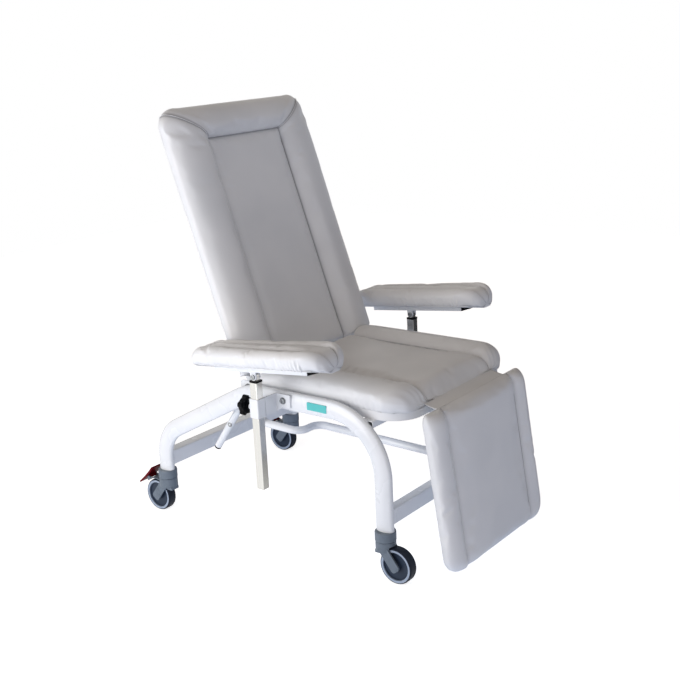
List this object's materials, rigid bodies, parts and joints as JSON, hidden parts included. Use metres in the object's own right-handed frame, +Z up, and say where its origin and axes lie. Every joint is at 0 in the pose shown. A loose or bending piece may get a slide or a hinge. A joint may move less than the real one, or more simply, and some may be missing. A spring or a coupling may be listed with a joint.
{
  "type": "phlebotomy chair",
  "caption": "Reclining chair on swivel castors with bent oval side rails, linked legrest, padded seat and back, and tilting armrests on height-adjustable posts.",
  "frame": {"origin": "bottom centre of the bounding box, on the floor", "axes": "-Y is the way the sitter faces, +Z is up, and the sitter's right hand is at -X"},
  "size_m": [0.8962, 1.1207, 1.2284],
  "materials": {
    "white_paint": "gloss",
    "stainless": "polished",
    "zinc_steel": "satin",
    "black_steel": "satin",
    "white_vinyl": "satin",
    "vinyl_board": "satin",
    "castor_plastic": "satin",
    "light_plastic": "satin",
    "grey_tyre": "matte",
    "red_plastic": "gloss",
    "black_plastic": "satin"
  },
  "bodies": {
    "frame": {"side_rail_right": "white_paint", "side_rail_left": "white_paint", "front_crossbar": "white_paint", "rear_crossbar": "white_paint", "seat_crossbar_front": "white_paint", "seat_crossbar_rear": "white_paint", "back_pivot_shaft": "zinc_steel", "back_pivot_plates": "white_paint", "seat_board": "vinyl_board", "seat_cushion": "white_vinyl", "leg_hinge_brackets": "white_paint", "castor_collars": "castor_plastic", "arm_bracket_right": "white_paint", "arm_bracket_left": "white_paint", "bracket_bolts": "zinc_steel"},
    "backrest": {"back_side_right": "white_paint", "back_side_left": "white_paint", "back_cross_upper": "white_paint", "back_cross_lower": "white_paint", "back_board": "vinyl_board", "back_cushion": "white_vinyl"},
    "legrest": {"leg_frame": "white_paint", "leg_board": "vinyl_board", "leg_cushion": "white_vinyl"},
    "link": {"link_tube": "white_paint"},
    "gas_cylinder_body": {"gas_cylinder": "black_steel"},
    "gas_rod_body": {"gas_rod": "zinc_steel"},
    "lever": {"release_lever": "white_paint", "release_lever_cap": "black_plastic"},
    "fork_front_right": {"castor_fork_front_right": "castor_plastic"},
    "wheel_front_right": {"castor_wheel_front_right": "light_plastic", "castor_tyre_front_right": "grey_tyre"},
    "fork_front_left": {"castor_fork_front_left": "castor_plastic"},
    "wheel_front_left": {"castor_wheel_front_left": "light_plastic", "castor_tyre_front_left": "grey_tyre"},
    "fork_rear_right": {"castor_fork_rear_right": "castor_plastic"},
    "wheel_rear_right": {"castor_wheel_rear_right": "light_plastic", "castor_tyre_rear_right": "grey_tyre"},
    "pedal_right": {"brake_pedal_right": "red_plastic"},
    "fork_rear_left": {"castor_fork_rear_left": "castor_plastic"},
    "wheel_rear_left": {"castor_wheel_rear_left": "light_plastic", "castor_tyre_rear_left": "grey_tyre"},
    "pedal_left": {"brake_pedal_left": "red_plastic"},
    "post_right": {"arm_post_right": "stainless", "arm_post_cap_right": "black_plastic"},
    "armrest_right": {"arm_bar_right": "white_paint", "arm_bar_cap_right": "black_plastic", "arm_tilt_bolt_right": "zinc_steel", "arm_board_right": "vinyl_board", "arm_pad_right": "white_vinyl"},
    "knob_right": {"arm_knob_right": "black_plastic"},
    "post_left": {"arm_post_left": "stainless", "arm_post_cap_left": "black_plastic"},
    "armrest_left": {"arm_bar_left": "white_paint", "arm_bar_cap_left": "black_plastic", "arm_tilt_bolt_left": "zinc_steel", "arm_board_left": "vinyl_board", "arm_pad_left": "white_vinyl"},
    "knob_left": {"arm_knob_left": "black_plastic"}
  },
  "joints": [
    {"name": "back_recline", "type": "hinge", "parent": "frame", "child": "backrest", "pos_m": [0, 0.10051, 0.455], "axis": [-1, 0, 0], "range_deg": [0, 60]},
    {"name": "leg_raise", "type": "hinge", "parent": "frame", "child": "legrest", "pos_m": [0, -0.44149, 0.445], "axis": [-1, 0, 0], "range_deg": [0, 60]},
    {"name": "link_swing", "type": "hinge", "parent": "backrest", "child": "link", "pos_m": [-0.22795, 0.10051, 0.335], "axis": [-1, 0, 0], "range_deg": [-60, 0]},
    {"name": "lever_turn", "type": "hinge", "parent": "frame", "child": "lever", "pos_m": [-0.26395, 0.10051, 0.455], "axis": [1, 0, 0], "range_deg": [0, 18]},
    {"name": "gas_spring_tilt", "type": "hinge", "parent": "frame", "child": "gas_cylinder_body", "pos_m": [0, -0.30949, 0.385], "axis": [1, 0, 0], "range_deg": [-1, 1]},
    {"name": "gas_rod_slide", "type": "slide", "parent": "gas_cylinder_body", "child": "gas_rod_body", "axis": [0, -0.9981, -0.0613], "range_m": [0, 0.055]},
    {"name": "swivel_front_right", "type": "hinge", "parent": "frame", "child": "fork_front_right", "pos_m": [-0.2935, -0.37249, 0.1134], "axis": [0, 0, 1], "continuous": true},
    {"name": "spin_front_right", "type": "hinge", "parent": "fork_front_right", "child": "wheel_front_right", "pos_m": [-0.2935, -0.41049, 0.05], "axis": [1, 0, 0], "continuous": true},
    {"name": "swivel_front_left", "type": "hinge", "parent": "frame", "child": "fork_front_left", "pos_m": [0.2935, -0.37249, 0.1134], "axis": [0, 0, 1], "continuous": true},
    {"name": "spin_front_left", "type": "hinge", "parent": "fork_front_left", "child": "wheel_front_left", "pos_m": [0.2935, -0.41049, 0.05], "axis": [1, 0, 0], "continuous": true},
    {"name": "swivel_rear_right", "type": "hinge", "parent": "frame", "child": "fork_rear_right", "pos_m": [-0.2935, 0.45051, 0.1134], "axis": [0, 0, 1], "continuous": true},
    {"name": "spin_rear_right", "type": "hinge", "parent": "fork_rear_right", "child": "wheel_rear_right", "pos_m": [-0.2935, 0.48851, 0.05], "axis": [1, 0, 0], "continuous": true},
    {"name": "brake_right", "type": "hinge", "parent": "fork_rear_right", "child": "pedal_right", "pos_m": [-0.2935, 0.52136, 0.10258], "axis": [1, 0, 0], "range_deg": [0, 20]},
    {"name": "swivel_rear_left", "type": "hinge", "parent": "frame", "child": "fork_rear_left", "pos_m": [0.2935, 0.45051, 0.1134], "axis": [0, 0, 1], "continuous": true},
    {"name": "spin_rear_left", "type": "hinge", "parent": "fork_rear_left", "child": "wheel_rear_left", "pos_m": [0.2935, 0.48851, 0.05], "axis": [1, 0, 0], "continuous": true},
    {"name": "brake_left", "type": "hinge", "parent": "fork_rear_left", "child": "pedal_left", "pos_m": [0.2935, 0.52136, 0.10258], "axis": [1, 0, 0], "range_deg": [0, 20]},
    {"name": "post_slide_right", "type": "slide", "parent": "frame", "child": "post_right", "axis": [0, 0, 1], "range_m": [-0.04, 0.15]},
    {"name": "arm_tilt_right", "type": "hinge", "parent": "post_right", "child": "armrest_right", "pos_m": [-0.373, -0.01849, 0.534], "axis": [-1, 0, 0], "range_deg": [-10, 20]},
    {"name": "knob_turn_right", "type": "hinge", "parent": "frame", "child": "knob_right", "pos_m": [-0.373, -0.01849, 0.4455], "axis": [0, 1, 0], "range_deg": [0, 360]},
    {"name": "post_slide_left", "type": "slide", "parent": "frame", "child": "post_left", "axis": [0, 0, 1], "range_m": [-0.04, 0.15]},
    {"name": "arm_tilt_left", "type": "hinge", "parent": "post_left", "child": "armrest_left", "pos_m": [0.373, -0.01849, 0.534], "axis": [-1, 0, 0], "range_deg": [-10, 20]},
    {"name": "knob_turn_left", "type": "hinge", "parent": "frame", "child": "knob_left", "pos_m": [0.373, -0.01849, 0.4455], "axis": [0, 1, 0], "range_deg": [0, 360]}
  ],
  "couplings": [
    {"joint": "leg_raise", "follows": "back_recline", "ratio": 1},
    {"joint": "link_swing", "follows": "back_recline", "ratio": -1},
    {"joint": "gas_spring_tilt", "follows": "back_recline", "ratio": 0.007579},
    {"joint": "gas_rod_slide", "follows": "back_recline", "m_per_rad": 0.047645}
  ]
}
